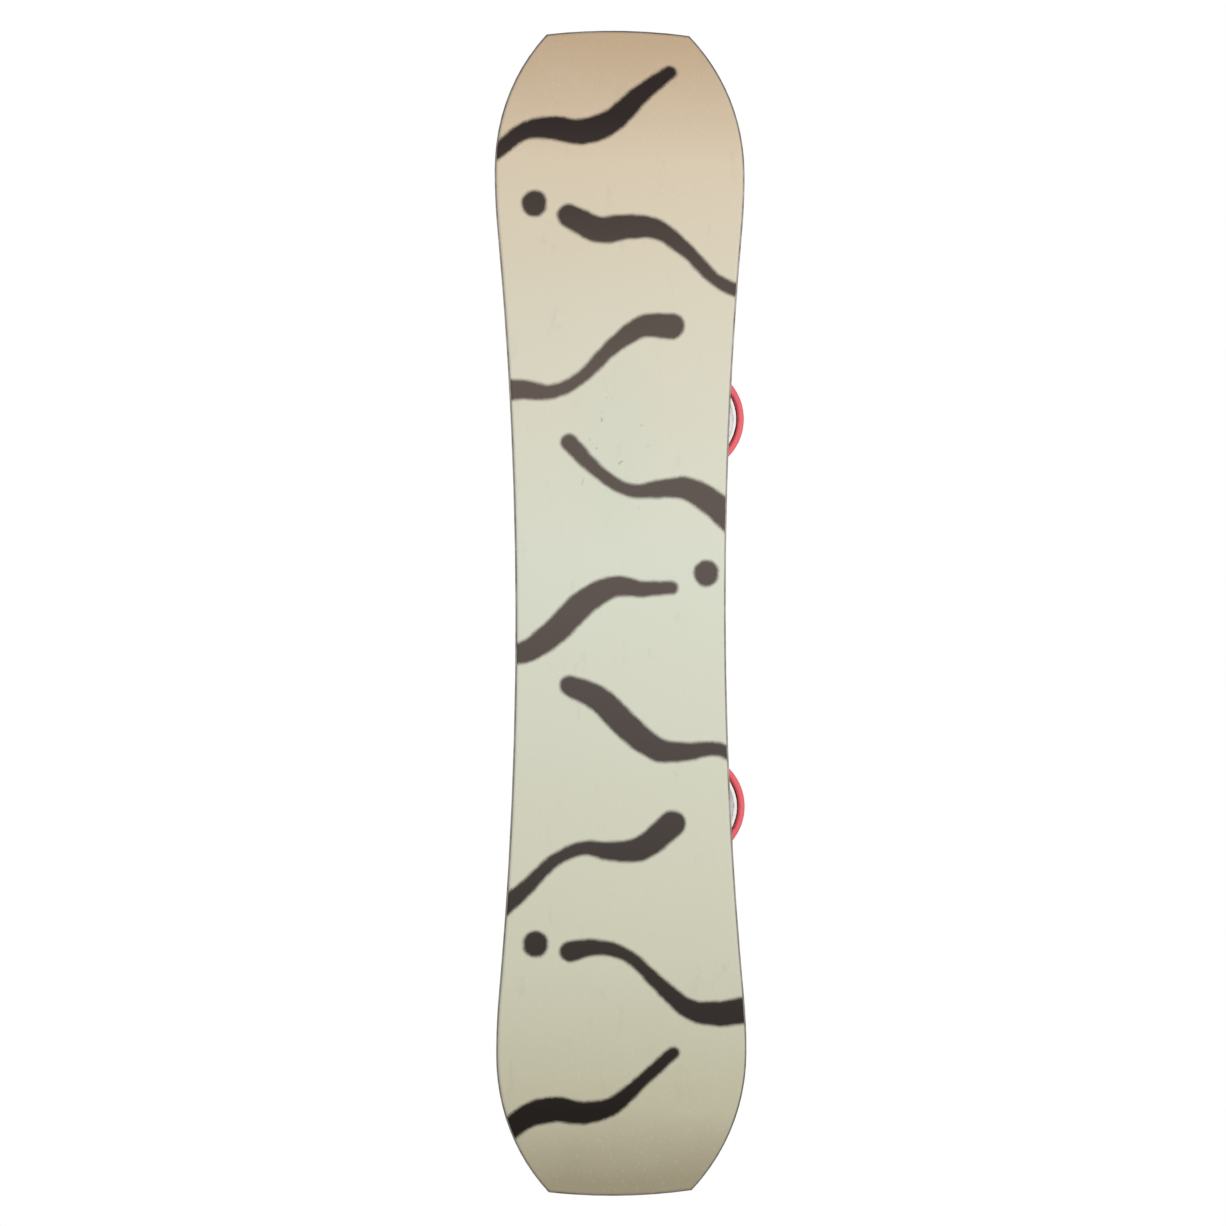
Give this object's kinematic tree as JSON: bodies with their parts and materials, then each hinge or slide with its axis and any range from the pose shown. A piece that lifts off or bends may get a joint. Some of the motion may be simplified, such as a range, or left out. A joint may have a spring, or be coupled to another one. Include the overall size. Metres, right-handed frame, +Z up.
{
  "type": "snowboard with bindings",
  "caption": "Short wide twin-tip snowboard with strap bindings: layered board with steel edge and inserts, folding highbacks, swinging ankle and toe straps, ratchets.",
  "frame": {"origin": "middle of the flat running base, on its lower face", "axes": "+X along the board to the nose, +Y across to the heel edge, +Z up through the bindings"},
  "size_m": [1.42, 0.3074, 0.2675],
  "materials": {
    "base_sheet": "sintered sheet, satin",
    "edge_steel": "ground",
    "glass_laminate": "cured glass cloth",
    "wood_core": "planed",
    "sidewall": "sanded",
    "topsheet": "satin",
    "steel_hardware": "plated",
    "foam_gasket": "closed-cell foam",
    "moulded_base": "fine moulded grain",
    "moulded_disc": "fine moulded grain",
    "foam_footbed": "foam with a grid tread",
    "rubber_ramp": "ribbed",
    "red_hoop": "anodised satin",
    "highback_shell": "satin moulding",
    "highback_cushion": "woven cover",
    "strap_cushion": "stitched grained cover",
    "strap_plastic": "moulded",
    "ladder_plastic": "moulded nylon",
    "ratchet_metal": "cast and tumbled",
    "lever_metal": "anodised satin",
    "release_metal": "stamped"
  },
  "bodies": {
    "board": {"base": "base_sheet", "steel_edge": "edge_steel", "lower_laminate": "glass_laminate", "core": "wood_core", "sidewalls": "sidewall", "upper_laminate": "glass_laminate", "topsheet": "topsheet", "inserts": "steel_hardware", "front_gasket": "foam_gasket", "front_baseplate": "moulded_base", "front_disc": "moulded_disc", "front_disc_screws": "steel_hardware", "front_footbed": "foam_footbed", "front_toe_ramp": "rubber_ramp", "front_heel_hoop": "red_hoop", "front_hoop_screws": "steel_hardware", "front_strap_bolts": "steel_hardware", "front_highback_pivots": "steel_hardware", "rear_gasket": "foam_gasket", "rear_baseplate": "moulded_base", "rear_disc": "moulded_disc", "rear_disc_screws": "steel_hardware", "rear_footbed": "foam_footbed", "rear_toe_ramp": "rubber_ramp", "rear_heel_hoop": "red_hoop", "rear_hoop_screws": "steel_hardware", "rear_strap_bolts": "steel_hardware", "rear_highback_pivots": "steel_hardware"},
    "front_highback": {"front_highback": "highback_shell", "front_highback_pad": "highback_cushion"},
    "front_lean_adjuster": {"front_lean_adjuster": "moulded_disc"},
    "front_ankle_strap": {"front_ankle_strap": "strap_cushion", "front_ankle_connector": "strap_plastic", "front_ankle_ladder": "ladder_plastic", "front_ankle_ratchet": "ratchet_metal"},
    "front_ankle_ratchet_lever": {"front_ankle_ratchet_lever": "lever_metal"},
    "front_ankle_release_lever": {"front_ankle_release_lever": "release_metal"},
    "front_toe_strap": {"front_toe_strap": "strap_cushion", "front_toe_connector": "strap_plastic", "front_toe_ladder": "ladder_plastic", "front_toe_ratchet": "ratchet_metal"},
    "front_toe_ratchet_lever": {"front_toe_ratchet_lever": "lever_metal"},
    "front_toe_release_lever": {"front_toe_release_lever": "release_metal"},
    "rear_highback": {"rear_highback": "highback_shell", "rear_highback_pad": "highback_cushion"},
    "rear_lean_adjuster": {"rear_lean_adjuster": "moulded_disc"},
    "rear_ankle_strap": {"rear_ankle_strap": "strap_cushion", "rear_ankle_connector": "strap_plastic", "rear_ankle_ladder": "ladder_plastic", "rear_ankle_ratchet": "ratchet_metal"},
    "rear_ankle_ratchet_lever": {"rear_ankle_ratchet_lever": "lever_metal"},
    "rear_ankle_release_lever": {"rear_ankle_release_lever": "release_metal"},
    "rear_toe_strap": {"rear_toe_strap": "strap_cushion", "rear_toe_connector": "strap_plastic", "rear_toe_ladder": "ladder_plastic", "rear_toe_ratchet": "ratchet_metal"},
    "rear_toe_ratchet_lever": {"rear_toe_ratchet_lever": "lever_metal"},
    "rear_toe_release_lever": {"rear_toe_release_lever": "release_metal"}
  },
  "joints": [
    {"name": "front_highback_fold", "type": "hinge", "parent": "board", "child": "front_highback", "pos_m": [0.24103, 0.07043, 0.0495], "axis": [0.9781, 0.2079, 0], "range_deg": [0, 70]},
    {"name": "front_lean_adjust", "type": "slide", "parent": "front_highback", "child": "front_lean_adjuster", "axis": [0, 0, 1], "range_m": [0, 0.015]},
    {"name": "front_ankle_strap_swing", "type": "hinge", "parent": "board", "child": "front_ankle_strap", "pos_m": [0.24976, 0.02934, 0.0515], "axis": [0.9781, 0.2079, 0], "range_deg": [-63, 9]},
    {"name": "front_ankle_ratchet_lever_pull", "type": "hinge", "parent": "front_ankle_strap", "child": "front_ankle_ratchet_lever", "pos_m": [0.32156, -0.00787, 0.07765], "axis": [-0.0944, 0.4441, 0.891], "range_deg": [0, 60], "stiffness_Nm_per_rad": 0.06},
    {"name": "front_ankle_release_lever_press", "type": "hinge", "parent": "front_ankle_strap", "child": "front_ankle_release_lever", "pos_m": [0.3211, 0.00691, 0.07024], "axis": [0.0944, -0.4441, -0.891], "range_deg": [0, 15], "stiffness_Nm_per_rad": 0.06},
    {"name": "front_toe_strap_swing", "type": "hinge", "parent": "board", "child": "front_toe_strap", "pos_m": [0.26889, -0.06065, 0.0335], "axis": [0.9781, 0.2079, 0], "range_deg": [-20, 15]},
    {"name": "front_toe_ratchet_lever_pull", "type": "hinge", "parent": "front_toe_strap", "child": "front_toe_ratchet_lever", "pos_m": [0.33625, -0.07294, 0.05953], "axis": [-0.147, 0.6917, 0.7071], "range_deg": [0, 60], "stiffness_Nm_per_rad": 0.06},
    {"name": "front_toe_release_lever_press", "type": "hinge", "parent": "front_toe_strap", "child": "front_toe_release_lever", "pos_m": [0.33606, -0.06313, 0.04989], "axis": [0.147, -0.6917, -0.7071], "range_deg": [0, 15], "stiffness_Nm_per_rad": 0.06},
    {"name": "rear_highback_fold", "type": "hinge", "parent": "board", "child": "rear_highback", "pos_m": [-0.24103, 0.07043, 0.0495], "axis": [0.9781, -0.2079, 0], "range_deg": [0, 70]},
    {"name": "rear_lean_adjust", "type": "slide", "parent": "rear_highback", "child": "rear_lean_adjuster", "axis": [0, 0, 1], "range_m": [0, 0.015]},
    {"name": "rear_ankle_strap_swing", "type": "hinge", "parent": "board", "child": "rear_ankle_strap", "pos_m": [-0.24976, 0.02934, 0.0515], "axis": [0.9781, -0.2079, 0], "range_deg": [-63, 9]},
    {"name": "rear_ankle_ratchet_lever_pull", "type": "hinge", "parent": "rear_ankle_strap", "child": "rear_ankle_ratchet_lever", "pos_m": [-0.32156, -0.00787, 0.07765], "axis": [-0.0944, -0.4441, -0.891], "range_deg": [0, 60], "stiffness_Nm_per_rad": 0.06},
    {"name": "rear_ankle_release_lever_press", "type": "hinge", "parent": "rear_ankle_strap", "child": "rear_ankle_release_lever", "pos_m": [-0.3211, 0.00691, 0.07024], "axis": [0.0944, 0.4441, 0.891], "range_deg": [0, 15], "stiffness_Nm_per_rad": 0.06},
    {"name": "rear_toe_strap_swing", "type": "hinge", "parent": "board", "child": "rear_toe_strap", "pos_m": [-0.26889, -0.06065, 0.0335], "axis": [0.9781, -0.2079, 0], "range_deg": [-20, 15]},
    {"name": "rear_toe_ratchet_lever_pull", "type": "hinge", "parent": "rear_toe_strap", "child": "rear_toe_ratchet_lever", "pos_m": [-0.33625, -0.07294, 0.05953], "axis": [-0.147, -0.6917, -0.7071], "range_deg": [0, 60], "stiffness_Nm_per_rad": 0.06},
    {"name": "rear_toe_release_lever_press", "type": "hinge", "parent": "rear_toe_strap", "child": "rear_toe_release_lever", "pos_m": [-0.33606, -0.06313, 0.04989], "axis": [0.147, 0.6917, 0.7071], "range_deg": [0, 15], "stiffness_Nm_per_rad": 0.06}
  ]
}
